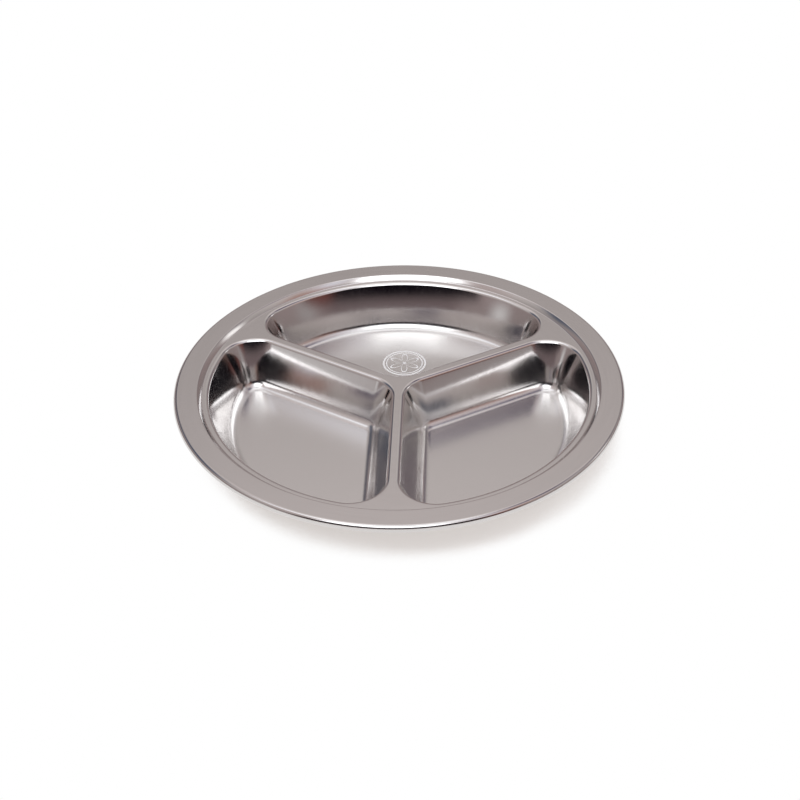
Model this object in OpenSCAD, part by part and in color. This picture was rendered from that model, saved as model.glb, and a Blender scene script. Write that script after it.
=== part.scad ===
// A round divided plate, pressed from one thin steel sheet: a flat rim with a rolled edge,
// a step down to a ledge, and three drafted compartments parted by a three-armed web.
// Z is up, the floors rest on Z = 0, the plate's axis is Z and the front divider runs along -Y.

/* [Overall] */
// Diameter over the rolled edge
plate_d = 260; // [200:2:320]
// Height from the resting face to the top of the rim
plate_h = 30.8; // [24:0.2:36]
// Thickness of the steel sheet
sheet_t = 0.6; // [0.5:0.1:1]
// How much the draft of a drawn wall grows towards its top and shrinks towards its foot, in degrees
wall_bow = 4; // [1:0.5:8]

/* [Rim] */
// Outer radius of the rolled edge
edge_r = 2.3; // [1.6:0.1:2.6]
// How far round the edge is rolled, in degrees
edge_wrap = 215; // [180:5:240]
// Flat width of the rim between the rolled edge and the step
rim_flat_w = 10.8; // [6:0.2:18]

/* [Step] */
// How far the ledge lies below the rim
step_drop = 2.7; // [2.2:0.1:5]
// Outer radius of the bend at the top of the step
step_top_r = 1.1; // [1.1:0.1:1.5]
// Inner radius of the bend at the foot of the step
step_foot_r = 0.7; // [0.4:0.1:1.2]
// Draft of the step's wall half way down, in degrees
step_draft = 42; // [25:1:42]

/* [Ledge and dividers] */
// Flat width of the ledge between the step and the compartments
ledge_w = 1.5; // [1:0.1:5]
// Flat width on top of each divider
divider_w = 3; // [2:0.2:10]

/* [Compartments] */
// Draft of the compartment walls half way down, in degrees
wall_draft = 22; // [14:0.5:28]
// Outer radius of the bend where a wall leaves the ledge
lip_r = 2.7; // [1.4:0.1:4]
// Inner radius of the bend between a wall and the floor
floor_bend_r = 6.6; // [4:0.2:8]
// Plan radius of the floor's corners
floor_corner_r = 4; // [3:0.5:10]

/* [Hidden] */
$fn = 180;

steel_color = [0.72, 0.71, 0.70];
floor_color = [0.78, 0.77, 0.76];

// The three compartments share the circle, and half a share lies on each side of a middle line
compartment_count = 3;
turn = 360 / compartment_count;
half_turn = turn / 2;
right_angle = 90;

// Overrun of a cut past the sheet
cut_over = 1;

// Steps in each bend and wall of a section, and round the arcs of a compartment's plan
bend_steps = 4;
wall_steps = 4;
centre_steps = 8;
corner_steps = 12;
arc_steps = 30;
edge_steps = 12;

// Levels of the upper surfaces
rim_z = plate_h;
ledge_z = rim_z - step_drop;
floor_z = sheet_t;
wall_drop = ledge_z - floor_z;

// Radius of a bowed wall that runs smoothly into a bend at its top and one at its foot
function bow_radius(drop, top_r, foot_r, draft) =
    let (top_share = sin(draft + wall_bow), foot_share = sin(draft - wall_bow))
    (drop - top_r - foot_r + top_r * top_share + foot_r * foot_share) / (top_share - foot_share);

// Horizontal run of such a wall with its bends
function bend_run(drop, top_r, foot_r, draft) =
    let (wall_r = bow_radius(drop, top_r, foot_r, draft))
    (top_r - wall_r) * cos(draft + wall_bow) + (wall_r + foot_r) * cos(draft - wall_bow);

// Points of an arc about a place, both ends included
function arc_points(at, r, from_a, to_a, steps) =
    [for (i = [0:steps]) let (a = from_a + (to_a - from_a) * i / steps) at + r * [cos(a), sin(a)]];

// One face of the sheet down a wall: X is the inset from the bend's start, Y the height.
// depth is how deep under the upper face the line lies.
function wall_line(top_z, drop, top_r, foot_r, draft, depth) =
    let (top_a = draft + wall_bow,
         foot_a = draft - wall_bow,
         wall_r = bow_radius(drop, top_r, foot_r, draft),
         top_at = [0, top_z - top_r],
         wall_at = top_at + (top_r - wall_r) * [cos(top_a), sin(top_a)],
         foot_at = [bend_run(drop, top_r, foot_r, draft), top_z - drop + foot_r],
         wall = arc_points(wall_at, wall_r - depth, top_a, foot_a, wall_steps))
    concat(
        arc_points(top_at, top_r - depth, right_angle, top_a, bend_steps),
        [for (i = [1:wall_steps - 1]) wall[i]],
        arc_points(foot_at, foot_r + depth, 2 * right_angle + foot_a, 3 * right_angle, bend_steps));

// Radii from the plate's axis, from the rolled edge inward
edge_axis_r = plate_d / 2 - edge_r;
step_outer_r = edge_axis_r - rim_flat_w;
step_run = bend_run(step_drop, step_top_r, step_foot_r, step_draft);
ledge_outer_r = step_outer_r - step_run;
pocket_r = ledge_outer_r - ledge_w;

// Plan of a compartment where its lip starts: all bands shrink by the same inset
wall_run = bend_run(wall_drop, lip_r, floor_bend_r, wall_draft);
corner_r = floor_corner_r + wall_run;
corner_offset = divider_w / 2 + corner_r;
corner_axis_r = pocket_r - corner_r;
wall_end = sqrt(pow(corner_axis_r, 2) - pow(corner_offset, 2));
divider_a = right_angle - half_turn;
corner_a = divider_a + atan2(corner_offset, wall_end);
corner_at = corner_axis_r * [cos(corner_a), sin(corner_a)];
centre_at = [0, corner_offset / sin(half_turn)];

// Closed outline of a compartment with its middle line along +Y, drawn in from the lip's start
function pocket_ring(inset) =
    let (r = corner_r - inset,
         mirrored_at = [-corner_at[0], corner_at[1]],
         arc = arc_points([0, 0], pocket_r - inset, corner_a, 2 * right_angle - corner_a, arc_steps))
    concat(
        arc_points(centre_at, r, -right_angle - divider_a, divider_a - right_angle, centre_steps),
        arc_points(corner_at, r, divider_a - right_angle, corner_a, corner_steps),
        [for (i = [1:arc_steps - 1]) arc[i]],
        arc_points(mirrored_at, r, 2 * right_angle - corner_a, 3 * right_angle - divider_a,
                   corner_steps));

// Bead that stiffens the rim, rolled under it
module rolled_edge() {
    section = concat(
        arc_points([0, 0], edge_r, right_angle, right_angle - edge_wrap, edge_steps),
        arc_points([0, 0], edge_r - sheet_t, right_angle - edge_wrap, right_angle, edge_steps));
    color(steel_color) rotate_extrude() translate([edge_axis_r, rim_z - edge_r]) polygon(section);
}

// Flat rim that is gripped and stacked
module rim_flange() {
    color(steel_color) rotate_extrude()
        translate([step_outer_r, rim_z - sheet_t]) square([rim_flat_w, sheet_t]);
}

// Wall from the rim down to the ledge
module step_wall() {
    upper = wall_line(rim_z, step_drop, step_top_r, step_foot_r, step_draft, 0);
    lower = wall_line(rim_z, step_drop, step_top_r, step_foot_r, step_draft, sheet_t);
    color(steel_color) rotate_extrude() translate([step_outer_r, 0]) mirror([1, 0])
        polygon(concat(upper, [for (i = [len(lower) - 1:-1:0]) lower[i]]));
}

// Ledge round the plate and the three flat divider tops, in one flat web
module divider_web() {
    color(steel_color) difference() {
        translate([0, 0, ledge_z - sheet_t]) cylinder(h = sheet_t, r = ledge_outer_r);
        for (step = [0:compartment_count - 1])
            rotate(step * turn) translate([0, 0, ledge_z - sheet_t - cut_over])
                linear_extrude(sheet_t + 2 * cut_over) polygon(pocket_ring(0));
    }
}

// One compartment as a closed shell: lip, drafted walls, floor bend and floor.
// Rings follow the lower face from the floor up to the lip, then the upper face down again.
module compartment(step) {
    upper = wall_line(ledge_z, wall_drop, lip_r, floor_bend_r, wall_draft, 0);
    lower = wall_line(ledge_z, wall_drop, lip_r, floor_bend_r, wall_draft, sheet_t);
    section = concat([for (i = [len(lower) - 1:-1:0]) lower[i]], upper);
    ring_size = len(pocket_ring(0));
    ring_count = len(section);
    points = [for (place = section) for (p = pocket_ring(place[0])) [p[0], p[1], place[1]]];
    sides = [for (k = [0:ring_count - 2]) for (i = [0:ring_size - 1])
        let (j = (i + 1) % ring_size)
        [k * ring_size + i, (k + 1) * ring_size + i, (k + 1) * ring_size + j, k * ring_size + j]];
    under_floor = [for (i = [0:ring_size - 1]) i];
    upper_floor = [for (i = [ring_size - 1:-1:0]) (ring_count - 1) * ring_size + i];
    rotate(step * turn) polyhedron(points = points, faces = concat(sides, [under_floor, upper_floor]));
}

module back_compartment() {
    color(floor_color) compartment(0);
}

module left_compartment() {
    color(floor_color) compartment(1);
}

module right_compartment() {
    color(floor_color) compartment(2);
}

rolled_edge();
rim_flange();
step_wall();
divider_web();
back_compartment();
left_compartment();
right_compartment();
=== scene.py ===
from math import atan2, cos, pi, radians, sin, sqrt

import bpy
from mathutils import Matrix, Vector
from mathutils.geometry import tessellate_polygon


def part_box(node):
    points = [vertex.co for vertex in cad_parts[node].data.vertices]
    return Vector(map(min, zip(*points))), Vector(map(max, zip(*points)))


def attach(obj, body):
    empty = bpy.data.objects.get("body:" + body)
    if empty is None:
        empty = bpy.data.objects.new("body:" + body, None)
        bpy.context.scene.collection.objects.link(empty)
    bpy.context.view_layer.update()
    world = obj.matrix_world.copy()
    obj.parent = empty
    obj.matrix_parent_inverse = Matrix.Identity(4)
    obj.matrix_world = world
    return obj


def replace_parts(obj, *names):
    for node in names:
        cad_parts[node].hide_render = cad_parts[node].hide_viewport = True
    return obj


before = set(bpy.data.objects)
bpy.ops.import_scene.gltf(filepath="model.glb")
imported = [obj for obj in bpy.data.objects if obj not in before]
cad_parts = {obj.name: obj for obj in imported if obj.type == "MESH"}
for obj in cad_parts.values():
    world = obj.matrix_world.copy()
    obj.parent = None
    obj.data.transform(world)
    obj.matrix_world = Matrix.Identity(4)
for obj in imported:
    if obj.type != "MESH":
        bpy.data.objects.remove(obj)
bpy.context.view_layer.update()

MM = 0.001


# Sizes, in metres: levels and the outer radius come from the frame, bends and drafts are named here

RIM_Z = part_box("rim_flange")[1].z
LEDGE_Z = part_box("divider_web")[1].z
SHEET = LEDGE_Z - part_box("divider_web")[0].z
FLOOR_Z = SHEET
PLATE_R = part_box("rolled_edge")[1].x
EDGE_R = 2.3 * MM
EDGE_WRAP = radians(215)
RIM_FLAT_W = 10.8 * MM
STEP_TOP_R = 1.1 * MM
STEP_FOOT_R = 0.7 * MM
STEP_DRAFT = radians(42)
LEDGE_W = 1.5 * MM
DIVIDER_W = 3 * MM
WALL_DRAFT = radians(22)
WALL_BOW = radians(4)
LIP_R = 2.7 * MM
FLOOR_BEND_R = 6.6 * MM
FLOOR_CORNER_R = 4 * MM

# The compartments share the circle, counted anticlockwise from the back one
COMPARTMENTS = ("back", "left", "right")
HALF_TURN = pi / len(COMPARTMENTS)

# Smoothness of the meshes
TURN_STEPS = 360
BEND_STEPS = 12
BOW_STEPS = 8
EDGE_STEPS = 32
CENTRE_STEPS = 16
CORNER_STEPS = 28
ARC_STEPS = 96
WALL_STEPS = 24


def bow_radius(drop, top_r, foot_r, draft):
    """Radius of a bowed wall that runs smoothly into a bend at its top and one at its foot."""
    top_share, foot_share = sin(draft + WALL_BOW), sin(draft - WALL_BOW)
    rest = drop - top_r * (1 - top_share) - foot_r * (1 - foot_share)
    return rest / (top_share - foot_share)


def bend_run(drop, top_r, foot_r, draft):
    """Horizontal run of such a wall with its bends."""
    wall_r = bow_radius(drop, top_r, foot_r, draft)
    return (top_r - wall_r) * cos(draft + WALL_BOW) + (wall_r + foot_r) * cos(draft - WALL_BOW)


# Radii from the plate's axis, from the rolled edge inward
EDGE_AXIS_R = PLATE_R - EDGE_R
STEP_OUTER_R = EDGE_AXIS_R - RIM_FLAT_W
LEDGE_OUTER_R = STEP_OUTER_R - bend_run(RIM_Z - LEDGE_Z, STEP_TOP_R, STEP_FOOT_R, STEP_DRAFT)
POCKET_R = LEDGE_OUTER_R - LEDGE_W

# Plan of a compartment where its lip starts
WALL_RUN = bend_run(LEDGE_Z - FLOOR_Z, LIP_R, FLOOR_BEND_R, WALL_DRAFT)
CORNER_R = FLOOR_CORNER_R + WALL_RUN
CORNER_OFFSET = DIVIDER_W / 2 + CORNER_R
CORNER_AXIS_R = POCKET_R - CORNER_R
WALL_END = sqrt(CORNER_AXIS_R ** 2 - CORNER_OFFSET ** 2)
DIVIDER_A = pi / 2 - HALF_TURN
CORNER_A = DIVIDER_A + atan2(CORNER_OFFSET, WALL_END)


# Sections and plans: lists of places, each two coordinates and the two parts of the normal there.
# A section's coordinates are a distance and a height, and a plan's are X and Y.

def arc_points(at, r, from_a, to_a, steps, facing=1):
    """Places of an arc, with normals that point away from its axis, or towards it if facing is -1."""
    angles = [from_a + (to_a - from_a) * i / steps for i in range(steps + 1)]
    return [(at[0] + r * cos(a), at[1] + r * sin(a), facing * cos(a), facing * sin(a)) for a in angles]


def wall_section(top_z, drop, top_r, foot_r, draft, depth):
    """One face of the sheet down a wall, from the flat above to the flat below.

    The distance is the inset from the bend's start, and depth is how far the face lies under the
    upper one."""
    top_a, foot_a = draft + WALL_BOW, draft - WALL_BOW
    wall_r = bow_radius(drop, top_r, foot_r, draft)
    top_at = (0, top_z - top_r)
    wall_at = ((top_r - wall_r) * cos(top_a), top_z - top_r + (top_r - wall_r) * sin(top_a))
    foot_at = (bend_run(drop, top_r, foot_r, draft), top_z - drop + foot_r)
    facing = -1 if depth else 1
    top = arc_points(top_at, top_r - depth, pi / 2, top_a, BEND_STEPS, facing)
    wall = arc_points(wall_at, wall_r - depth, top_a, foot_a, BOW_STEPS, facing)
    foot = arc_points(foot_at, foot_r + depth, pi + foot_a, 3 * pi / 2, BEND_STEPS, -facing)
    return top + wall[1:-1] + foot


def outward(section, start_r):
    """Turns a section's inset into a radius."""
    return [(start_r - x, z, -nx, nz) for x, z, nx, nz in section]


def between(start, end, steps):
    """Places inside a straight run of a plan, its two ends left out."""
    return [tuple(a + (b - a) * i / steps for a, b in zip(start, end)) for i in range(1, steps)]


def pocket_plan(inset):
    """Closed outline of the back compartment drawn in by an inset, with its outward normals."""
    r = CORNER_R - inset
    centre = (0, CORNER_OFFSET / sin(HALF_TURN))
    right = (CORNER_AXIS_R * cos(CORNER_A), CORNER_AXIS_R * sin(CORNER_A))
    left = (-right[0], right[1])
    inner = arc_points(centre, r, -pi / 2 - DIVIDER_A, DIVIDER_A - pi / 2, CENTRE_STEPS)
    right_corner = arc_points(right, r, DIVIDER_A - pi / 2, CORNER_A, CORNER_STEPS)
    outer = arc_points((0, 0), POCKET_R - inset, CORNER_A, pi - CORNER_A, ARC_STEPS)[1:-1]
    left_corner = arc_points(left, r, pi - CORNER_A, 3 * pi / 2 - DIVIDER_A, CORNER_STEPS)
    right_wall = between(inner[-1], right_corner[0], WALL_STEPS)
    left_wall = between(left_corner[-1], inner[0], WALL_STEPS)
    return inner + right_wall + right_corner + outer + left_corner + left_wall


def rotated(plan, angle):
    """A plan turned about the plate's axis."""
    c, s = cos(angle), sin(angle)
    return [(x * c - y * s, x * s + y * c, nx * c - ny * s, nx * s + ny * c) for x, y, nx, ny in plan]


def turned(section):
    """Rings of points and of normals, one for each place of a section turned about the plate's axis."""
    rings = []
    for r, z, nr, nz in section:
        angles = [2 * pi * i / TURN_STEPS for i in range(TURN_STEPS)]
        rings.append(([(r * cos(a), r * sin(a), z) for a in angles],
                      [(nr * cos(a), nr * sin(a), nz) for a in angles]))
    return rings


# Meshes: every face carries the true surface normals at its corners

class Shell:
    """Collects points and faces with corner normals, and makes one object of them.

    A ring is a pair: the numbers of its points, and the normals there."""

    def __init__(self):
        self.points, self.faces, self.normals = [], [], []

    def add_points(self, points):
        """Adds points and returns their numbers."""
        start = len(self.points)
        self.points += points
        return list(range(start, len(self.points)))

    def face(self, corners, normals):
        """Adds one face, with the normal at each of its corners."""
        self.faces.append(corners)
        self.normals += normals

    def strip(self, ring_a, ring_b):
        """Quads between two closed rings."""
        (points_a, normals_a), (points_b, normals_b) = ring_a, ring_b
        count = len(points_a)
        for i in range(count):
            j = (i + 1) % count
            self.face([points_a[i], points_b[i], points_b[j], points_a[j]],
                      [normals_a[i], normals_b[i], normals_b[j], normals_a[j]])

    def skins(self, upper, lower):
        """Both faces of the sheet, each a list of rings from the outermost inward."""
        for a, b in zip(upper, upper[1:]):
            self.strip(b, a)
        for a, b in zip(lower, lower[1:]):
            self.strip(a, b)

    def build(self, name, material, slot):
        """Makes the object, which rides on the plate's one body."""
        mesh = bpy.data.meshes.new(name)
        mesh.from_pydata(self.points, [], self.faces)
        for polygon in mesh.polygons:
            polygon.use_smooth = True
        mesh.normals_split_custom_set([Vector(n).normalized() for n in self.normals])
        mesh.materials.append(material)
        piece = bpy.data.objects.new(name, mesh)
        bpy.context.scene.collection.objects.link(piece)
        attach(piece, "root")
        return piece


def revolve(upper, lower):
    """Closed shell between two faces of the sheet, each a section that starts at its outer end."""
    shell = Shell()
    top = [(shell.add_points(points), normals) for points, normals in turned(upper)]
    under = [(shell.add_points(points), normals) for points, normals in turned(lower)]
    shell.skins(top, under)
    for end, facing in ((0, 1), (-1, -1)):
        across, up = upper[end][0] - lower[end][0], upper[end][1] - lower[end][1]
        cap = turned([(0, 0, facing * up, -facing * across)])[0][1]
        edges = [(top[end][0], cap), (under[end][0], cap)]
        shell.strip(*edges[::facing])
    return shell


def make_rolled_edge(material):
    """Bead rolled out and under the rim."""
    at = (EDGE_AXIS_R, RIM_Z - EDGE_R)
    start, end = pi / 2 - EDGE_WRAP, pi / 2
    outer = arc_points(at, EDGE_R, start, end, EDGE_STEPS)
    inner = arc_points(at, EDGE_R - SHEET, start, end, EDGE_STEPS, -1)
    return revolve(outer, inner).build("rolled_edge_bead", material, "rim_steel")


def make_rim_flange(material):
    """Flat rim between the rolled edge and the step."""
    upper = [(r, RIM_Z, 0, 1) for r in (EDGE_AXIS_R, STEP_OUTER_R)]
    lower = [(r, RIM_Z - SHEET, 0, -1) for r in (EDGE_AXIS_R, STEP_OUTER_R)]
    return revolve(upper, lower).build("rim_flange_sheet", material, "rim_steel")


def make_step_wall(material):
    """Wall from the rim down to the ledge."""
    sizes = (RIM_Z, RIM_Z - LEDGE_Z, STEP_TOP_R, STEP_FOOT_R, STEP_DRAFT)
    upper = outward(wall_section(*sizes, 0), STEP_OUTER_R)
    lower = outward(wall_section(*sizes, SHEET), STEP_OUTER_R)
    return revolve(upper, lower).build("step_wall_sheet", material, "rim_steel")


def make_divider_web(material):
    """Flat web with three holes: upper and lower face, and the edges between them."""
    shell = Shell()
    rim = arc_points((0, 0), LEDGE_OUTER_R, 0, 2 * pi, TURN_STEPS)[:-1]
    holes = [rotated(pocket_plan(0), step * 2 * HALF_TURN) for step in range(len(COMPARTMENTS))]
    loops = [rim] + holes
    top = [shell.add_points([(p[0], p[1], LEDGE_Z) for p in loop]) for loop in loops]
    under = [shell.add_points([(p[0], p[1], LEDGE_Z - SHEET) for p in loop]) for loop in loops]
    above = [i for ring in top for i in ring]
    below = [i for ring in under for i in ring]
    for a, b, c in tessellate_polygon([[Vector((p[0], p[1], 0)) for p in loop] for loop in loops]):
        place_a, place_b, place_c = (Vector(shell.points[above[i]]) for i in (a, b, c))
        if (place_b - place_a).cross(place_c - place_a).z < 0:
            b, c = c, b
        shell.face([above[a], above[b], above[c]], [(0, 0, 1)] * 3)
        shell.face([below[a], below[c], below[b]], [(0, 0, -1)] * 3)
    for loop, upper, lower in zip(loops, top, under):
        facing = 1 if loop is rim else -1
        normals = [(facing * p[2], facing * p[3], 0) for p in loop]
        edges = [(upper, normals), (lower, normals)]
        shell.strip(*edges[::facing])
    return shell.build("divider_web_sheet", material, "web_steel")


def make_compartment(name, step, material):
    """Lip, drafted walls, floor bend and floor of one compartment, as a closed shell."""
    shell = Shell()
    sizes = (LEDGE_Z, LEDGE_Z - FLOOR_Z, LIP_R, FLOOR_BEND_R, WALL_DRAFT)
    angle = step * 2 * HALF_TURN
    sides = []
    for depth in (0, SHEET):
        rings = []
        for inset, z, across, up in wall_section(*sizes, depth):
            plan = rotated(pocket_plan(inset), angle)
            points = shell.add_points([(p[0], p[1], z) for p in plan])
            rings.append((points, [(-across * p[2], -across * p[3], up) for p in plan]))
        sides.append(rings)
    upper, lower = sides
    shell.skins(upper, lower)
    lip = [(p[2], p[3], 0) for p in rotated(pocket_plan(0), angle)]
    shell.strip((upper[0][0], lip), (lower[0][0], lip))

    # Each face of the floor is a fan about one point inside it
    reach = POCKET_R / 2
    middle = (-reach * sin(angle), reach * cos(angle))
    for rings, z, up in ((upper, FLOOR_Z, 1), (lower, FLOOR_Z - SHEET, -1)):
        ring = rings[-1][0]
        hub = shell.add_points([(*middle, z)])[0]
        for i, here in enumerate(ring):
            there = ring[(i + 1) % len(ring)]
            corners = [here, there, hub] if up > 0 else [there, here, hub]
            shell.face(corners, [(0, 0, up)] * 3)
    return shell.build(name, material, "compartment_steel")


# Materials

# Colour of the rim and the web, and of the compartments
RIM_COLOR = (0.66, 0.635, 0.625)
POCKET_COLOR = (0.69, 0.67, 0.66)
# Roughness of the satin flats and floors, of the bends round the rim, and of the walls' tops
FLAT_ROUGH, BEND_ROUGH, WALL_TOP_ROUGH = 0.22, 0.15, 0.12
# Height above which a compartment's wall is fully burnished
BURNISHED_Z = 0.7 * LEDGE_Z
# Polishing marks: scale and octaves of their noise, share of the scale along a mark, depth
MARK_SCALE, MARK_DETAIL = 700, 3
MARK_STRETCH = 0.05
MARK_DEPTH = 0.003 * MM
# Cloudy finish and slight waves of pressed sheet: scale and octaves of their noise, depth
CLOUD_SCALE, CLOUD_DETAIL = 28, 4
WAVE_DEPTH = 0.06 * MM
# Most of a noise lies between these values
NOISE_LOW, NOISE_HIGH = 0.3, 0.7
# How far the marks change the colour, as a share, and how far each noise changes the roughness
TINT_CHANGE = 0.04
ROUGH_CHANGE = 0.015

# Etched roundel on the back floor: its middle, two rings, petals and dot, half widths of its lines,
# and the share of a half width over which a line fades
ROUNDEL_AT = (1 * MM, 59.5 * MM)
ROUNDEL_R, RING_HALF_W = 13 * MM, 0.5 * MM
INNER_RING_R, INNER_RING_HALF_W = 11.2 * MM, 0.3 * MM
PETALS, PETAL_R, PETAL_HALF_W = 6, 9.5 * MM, 0.5 * MM
DOT_R = 1 * MM
ETCH_FADE = 0.3
# Etched steel: colour, and how much rougher it is
ETCH_COLOR = (0.97, 0.97, 0.97)
ETCH_ROUGHER = 0.4
# How far above and below the floor's upper face the etching reaches
ETCH_REACH = SHEET / 3


def calculate(tree, operation, *values):
    """A math node on sockets or numbers; returns its output socket."""
    node = tree.nodes.new("ShaderNodeMath")
    node.operation = operation
    for socket, value in zip(node.inputs, values):
        if isinstance(value, (int, float)):
            socket.default_value = value
        else:
            tree.links.new(value, socket)
    return node.outputs[0]


def length_of(tree, a, b):
    """Length of two sockets taken at a right angle."""
    squares = [calculate(tree, "MULTIPLY", side, side) for side in (a, b)]
    return calculate(tree, "SQRT", calculate(tree, "ADD", *squares))


def remap(tree, value, from_min, from_max, to_min, to_max):
    """Eased map of a socket from one range to another; returns its output socket."""
    node = tree.nodes.new("ShaderNodeMapRange")
    node.interpolation_type = "SMOOTHSTEP"
    tree.links.new(value, node.inputs["Value"])
    node.inputs["From Min"].default_value = from_min
    node.inputs["From Max"].default_value = from_max
    node.inputs["To Min"].default_value = to_min
    node.inputs["To Max"].default_value = to_max
    return node.outputs["Result"]


def coordinates(tree, kind):
    """A texture coordinate, whole and then as its X, Y and Z."""
    place = tree.nodes.new("ShaderNodeTexCoord").outputs[kind]
    split = tree.nodes.new("ShaderNodeSeparateXYZ")
    tree.links.new(place, split.inputs["Vector"])
    return place, split.outputs["X"], split.outputs["Y"], split.outputs["Z"]


def vector(tree, *sockets):
    """A vector of three sockets."""
    node = tree.nodes.new("ShaderNodeCombineXYZ")
    for part, socket in zip(node.inputs, sockets):
        tree.links.new(socket, part)
    return node.outputs["Vector"]


def noise(tree, at, scale, detail):
    """A noise from 0 to 1 at a place."""
    node = tree.nodes.new("ShaderNodeTexNoise")
    node.inputs["Scale"].default_value = scale
    node.inputs["Detail"].default_value = detail
    tree.links.new(at, node.inputs["Vector"])
    return node.outputs["Fac"]


def blend(tree, share, low, high):
    """Colour between two colours, each a socket or numbers."""
    node = tree.nodes.new("ShaderNodeMix")
    node.data_type = "RGBA"
    tree.links.new(share, node.inputs["Factor"])
    for name, color in (("A", low), ("B", high)):
        if isinstance(color, tuple):
            node.inputs[name].default_value = (*color, 1)
        else:
            tree.links.new(color, node.inputs[name])
    return node.outputs["Result"]


def bump(tree, height, depth, normal=None):
    """Normal bumped by a height, over another bump's normal if one is given."""
    node = tree.nodes.new("ShaderNodeBump")
    node.inputs["Distance"].default_value = depth
    tree.links.new(height, node.inputs["Height"])
    if normal is not None:
        tree.links.new(normal, node.inputs["Normal"])
    return node.outputs["Normal"]


def nodes_of(material):
    """A material's node tree, and the sockets of its main shader."""
    material.use_nodes = True
    tree = material.node_tree
    return tree, tree.nodes["Principled BSDF"].inputs


def line_at(tree, distance, at, half_width):
    """Share of a thin line where a distance has a value, with a slightly soft edge."""
    away = calculate(tree, "ABSOLUTE", calculate(tree, "SUBTRACT", distance, at))
    return remap(tree, away, half_width * (1 - ETCH_FADE), half_width * (1 + ETCH_FADE), 1, 0)


def etched_roundel(tree, x, y, z):
    """Share of a plain etched mark on the back floor: two rings, a six-petal rosette and a dot."""
    along = calculate(tree, "SUBTRACT", x, ROUNDEL_AT[0])
    across = calculate(tree, "SUBTRACT", y, ROUNDEL_AT[1])
    radius = length_of(tree, along, across)
    turn = calculate(tree, "MULTIPLY", calculate(tree, "ARCTAN2", along, across), PETALS / 2)
    wave = calculate(tree, "ABSOLUTE", calculate(tree, "COSINE", turn))
    petal = calculate(tree, "MULTIPLY", wave, PETAL_R)
    share = line_at(tree, radius, ROUNDEL_R, RING_HALF_W)
    for line in (line_at(tree, radius, INNER_RING_R, INNER_RING_HALF_W),
                 line_at(tree, radius, petal, PETAL_HALF_W),
                 line_at(tree, radius, 0, DOT_R)):
        share = calculate(tree, "MAXIMUM", share, line)
    on_floor = calculate(tree, "COMPARE", z, FLOOR_Z, ETCH_REACH)
    return calculate(tree, "MULTIPLY", share, on_floor)


def steel(name, color, foot_rough, top_rough, marks_run_round):
    """Satin steel, burnished towards the top of the walls, with fine marks and a cloudy finish.

    The marks run round the plate, or else down the walls. Steel with marks down its walls is the
    compartments', and carries the etched roundel."""
    material = bpy.data.materials.new(name)
    tree, shader = nodes_of(material)
    links = tree.links
    place, x, y, z = coordinates(tree, "Object")

    if marks_run_round:
        radius = length_of(tree, x, y)
        along_mark = [calculate(tree, "MULTIPLY", calculate(tree, "DIVIDE", side, radius),
                                MARK_STRETCH * PLATE_R) for side in (x, y)]
        mark_place = vector(tree, radius, *along_mark)
    else:
        mark_place = vector(tree, x, y, calculate(tree, "MULTIPLY", z, MARK_STRETCH))
    marks = noise(tree, mark_place, MARK_SCALE, MARK_DETAIL)
    cloud = noise(tree, place, CLOUD_SCALE, CLOUD_DETAIL)

    darker, lighter = (tuple(c * share for c in color) for share in (1 - TINT_CHANGE, 1 + TINT_CHANGE))
    tint = blend(tree, marks, darker, lighter)
    rough = remap(tree, z, FLOOR_Z, BURNISHED_Z, foot_rough, top_rough)
    for pattern in (marks, cloud):
        change = remap(tree, pattern, NOISE_LOW, NOISE_HIGH, -ROUGH_CHANGE, ROUGH_CHANGE)
        rough = calculate(tree, "ADD", rough, change)
    shader["Metallic"].default_value = 1
    if not marks_run_round:
        etched = etched_roundel(tree, x, y, z)
        tint = blend(tree, etched, tint, ETCH_COLOR)
        rough = calculate(tree, "ADD", rough, calculate(tree, "MULTIPLY", etched, ETCH_ROUGHER))
        links.new(remap(tree, etched, 0, 1, 1, 0), shader["Metallic"])
    links.new(tint, shader["Base Color"])
    links.new(rough, shader["Roughness"])
    links.new(bump(tree, cloud, WAVE_DEPTH, bump(tree, marks, MARK_DEPTH)), shader["Normal"])
    return material


# Scene

# Light of the studio by degrees above the horizon, from the horizon to the zenith
ZENITH = 90
STUDIO_RAMP = (
    (0, (0.28, 0.24, 0.235)),
    (15, (0.35, 0.28, 0.28)),
    (30, (0.46, 0.43, 0.42)),
    (45, (0.70, 0.65, 0.64)),
    (60, (0.68, 0.61, 0.61)),
    (75, (1.65, 1.68, 1.72)),
    (ZENITH, (0.55, 0.55, 0.56)),
)
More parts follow.
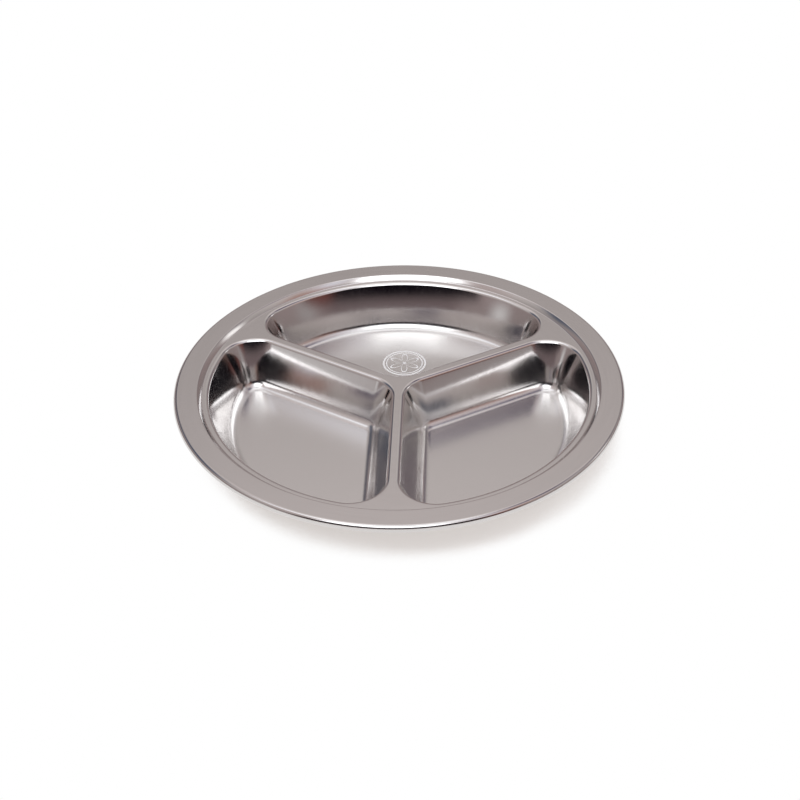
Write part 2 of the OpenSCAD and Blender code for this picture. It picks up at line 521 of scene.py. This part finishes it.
# Soft panels: turn from the back to the right and height in degrees, half width, half height,
# softness of the edge, colour
STUDIO_PANELS = (
    (174, 8, 42, 7, 8, (0.18, 0.135, 0.14)),
    (174, 28, 54, 14, 4, (0.003, 0.002, 0.005)),
    (188, 60, 38, 14, 5, (3.0, 3.1, 3.2)),
    (178, 46, 18, 5, 4, (2.6, 2.65, 2.75)),
    (-118, 8, 5, 4, 5, (0.75, 0.74, 0.74)),
    (121, 11, 5, 4, 6, (0.42, 0.40, 0.40)),
    (129, 18, 8, 4, 5, (0.19, 0.065, 0.055)),
    (52, 37, 19, 5, 4, (0.12, 0.10, 0.13)),
    (-60, 36, 22, 10, 7, (0.10, 0.12, 0.17)),
    (-30, 30, 12, 7, 6, (0.07, 0.07, 0.10)),
    (30, 25, 8, 6, 5, (0.17, 0.14, 0.17)),
    (68, 25, 7, 4, 4, (1.8, 1.8, 1.8)),
    (66, 60, 22, 12, 10, (0.10, 0.08, 0.14)),
    (120, 38, 16, 9, 8, (0.50, 0.33, 0.29)),
    (-10, 57, 17, 9, 9, (0.90, 0.84, 0.84)),
    (-122, 46, 14, 10, 9, (0.56, 0.48, 0.47)),
    (130, 58, 9, 13, 9, (0.95, 0.95, 1.05)),
    (-72, 64, 14, 6, 6, (1.4, 1.45, 1.55)),
    (102, 64, 18, 11, 11, (0.60, 0.52, 0.54)),
)

# Half the table's width, and how far it lies under the plate, so that their faces don't coincide
TABLE_HALF_W = 20
TABLE_GAP = 0.05 * MM
# Finish of the table
TABLE_COLOR = (0.93, 0.925, 0.92)
TABLE_ROUGH, TABLE_SPECULAR = 0.9, 0.1
# Share of the table's brightness that is glow, to the camera and in the metal, where the plate
# shades it, and how open the table is to the sky where its glow starts to grow and is whole.
# Where ambient occlusion dims the glow, the shadow is painted shadow.
TABLE_GLOW = 0.55
GLOW_GROWS_AT, GLOW_WHOLE_AT = 0.38, 0.46
# Colour of the glow in the shade: a painted warm tint of the shadow
PAINTED_SHADOW_COLOR = (1, 0.945, 0.91)
# How far the table looks for its sky, and where: to the left and the front, so that the painted
# shadow lies more to the right
PAINTED_SHADOW_REACH = 0.3
PAINTED_SHADOW_TILT = (-0.2, -0.2, 0.96)

# The photograph's viewpoint: angles in degrees, distance from the middle of the rim's plane, the
# lens and the picture's middle in pixels of the photograph, and the picture's width
VIEW_UP, VIEW_TURN, VIEW_ROLL = 35.25, 2.684, 1.208
VIEW_DISTANCE = 0.806
VIEW_FOCAL_PX = 1390.5
VIEW_CENTRE_PX = (398.72, 378.4)
PICTURE_PX = 800
SENSOR_MM = 36
NEAREST_SEEN = 0.01


def make_camera():
    """The photograph's viewpoint: it looks at the middle of the rim's plane."""
    up, turn, roll = radians(VIEW_UP), radians(VIEW_TURN), radians(VIEW_ROLL)
    camera = bpy.data.objects.new("camera", bpy.data.cameras.new("camera"))
    bpy.context.scene.collection.objects.link(camera)
    away = Vector((sin(turn) * cos(up), -cos(turn) * cos(up), sin(up)))
    place = Matrix.Translation(Vector((0, 0, RIM_Z)) + away * VIEW_DISTANCE)
    aim = (-away).to_track_quat("-Z", "Y").to_matrix().to_4x4()
    camera.matrix_world = place @ aim @ Matrix.Rotation(-roll, 4, "Z")
    camera.data.sensor_width = SENSOR_MM
    camera.data.lens = VIEW_FOCAL_PX / PICTURE_PX * SENSOR_MM
    camera.data.shift_x = (PICTURE_PX / 2 - VIEW_CENTRE_PX[0]) / PICTURE_PX
    camera.data.shift_y = (VIEW_CENTRE_PX[1] - PICTURE_PX / 2) / PICTURE_PX
    camera.data.clip_start = NEAREST_SEEN
    bpy.context.scene.camera = camera


def table_white():
    """Matt white, keeping the plate's shadow; the camera and the metal see part glow, with painted
    shadow.
    """
    material = bpy.data.materials.new("floor_white")
    tree, shader = nodes_of(material)
    nodes, links = tree.nodes, tree.links
    shader["Base Color"].default_value = (*TABLE_COLOR, 1)
    shader["Roughness"].default_value = TABLE_ROUGH
    shader["Specular IOR Level"].default_value = TABLE_SPECULAR

    # The glow's share follows ambient occlusion: a painted shadow under the plate
    sky = nodes.new("ShaderNodeAmbientOcclusion")
    sky.inputs["Distance"].default_value = PAINTED_SHADOW_REACH
    tilt = nodes.new("ShaderNodeCombineXYZ")
    for socket, value in zip(tilt.inputs, PAINTED_SHADOW_TILT):
        socket.default_value = value
    links.new(tilt.outputs["Vector"], sky.inputs["Normal"])
    glow_share, open_share = (remap(tree, sky.outputs["AO"], GLOW_GROWS_AT, GLOW_WHOLE_AT, least, 1)
                              for least in (TABLE_GLOW, 0))

    glow = nodes.new("ShaderNodeEmission")
    glow.inputs["Strength"].default_value = 1
    # The glow turns warm where ambient occlusion finds shade: a painted shadow tint
    links.new(blend(tree, open_share, PAINTED_SHADOW_COLOR, (1, 1, 1)), glow.inputs["Color"])
    path = nodes.new("ShaderNodeLightPath")
    seen = calculate(tree, "MAXIMUM", path.outputs["Is Camera Ray"], path.outputs["Is Glossy Ray"])
    seen = calculate(tree, "MAXIMUM", seen, path.outputs["Is Transmission Ray"])
    mix = nodes.new("ShaderNodeMixShader")
    links.new(calculate(tree, "MULTIPLY", seen, glow_share), mix.inputs["Fac"])
    links.new(nodes["Principled BSDF"].outputs["BSDF"], mix.inputs[1])
    links.new(glow.outputs["Emission"], mix.inputs[2])
    links.new(mix.outputs["Shader"], nodes["Material Output"].inputs["Surface"])
    return material


def make_floor():
    """The table under the plate."""
    mesh = bpy.data.meshes.new("floor")
    corners = [(-1, -1), (1, -1), (1, 1), (-1, 1)]
    mesh.from_pydata([(x * TABLE_HALF_W, y * TABLE_HALF_W, -TABLE_GAP) for x, y in corners], [],
                     [(0, 1, 2, 3)])
    floor = bpy.data.objects.new("floor", mesh)
    bpy.context.scene.collection.objects.link(floor)
    mesh.materials.append(table_white())


def studio_ramp(tree, height):
    """Light of the studio by its height above the horizon."""
    ramp = tree.nodes.new("ShaderNodeValToRGB")
    tree.links.new(calculate(tree, "DIVIDE", height, pi / 2), ramp.inputs["Fac"])
    stops = ramp.color_ramp.elements
    for degrees_up, _ in STUDIO_RAMP[1:-1]:
        stops.new(degrees_up / ZENITH)
    for stop, (_, color) in zip(stops, STUDIO_RAMP):
        stop.color = (*color, 1)
    return ramp.outputs["Color"]


def make_world():
    """The studio: light by height, then each soft panel laid over it."""
    world = bpy.data.worlds.new("studio")
    bpy.context.scene.world = world
    world.use_nodes = True
    tree = world.node_tree
    _, x, y, z = coordinates(tree, "Generated")
    azimuth = calculate(tree, "ARCTAN2", x, y)
    height = calculate(tree, "ARCSINE", z)
    light = studio_ramp(tree, height)
    for turn_at, up_at, half_w, half_h, soft, color in STUDIO_PANELS:
        turned_by = calculate(tree, "SUBTRACT", azimuth, radians(turn_at))
        across = calculate(tree, "WRAP", turned_by, pi, -pi)
        along = calculate(tree, "SUBTRACT", height, radians(up_at))
        shares = [remap(tree, calculate(tree, "ABSOLUTE", offset),
                        radians(half - soft), radians(half + soft), 1, 0)
                  for offset, half in ((across, half_w), (along, half_h))]
        light = blend(tree, calculate(tree, "MULTIPLY", *shares), light, color)
    tree.links.new(light, tree.nodes["Background"].inputs["Color"])


def main():
    rim_steel = steel("rim_steel", RIM_COLOR, FLAT_ROUGH, FLAT_ROUGH, True)
    bend_steel = steel("bend_steel", RIM_COLOR, BEND_ROUGH, BEND_ROUGH, True)
    pocket_steel = steel("compartment_steel", POCKET_COLOR, FLAT_ROUGH, WALL_TOP_ROUGH, False)

    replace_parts(make_rolled_edge(bend_steel), "rolled_edge")
    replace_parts(make_rim_flange(rim_steel), "rim_flange")
    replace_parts(make_step_wall(bend_steel), "step_wall")
    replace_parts(make_divider_web(rim_steel), "divider_web")
    for step, side in enumerate(COMPARTMENTS):
        shell = make_compartment(side + "_compartment_shell", step, pocket_steel)
        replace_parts(shell, side + "_compartment")

    make_camera()
    make_floor()
    make_world()
    bpy.context.scene.view_settings.view_transform = "Standard"


main()
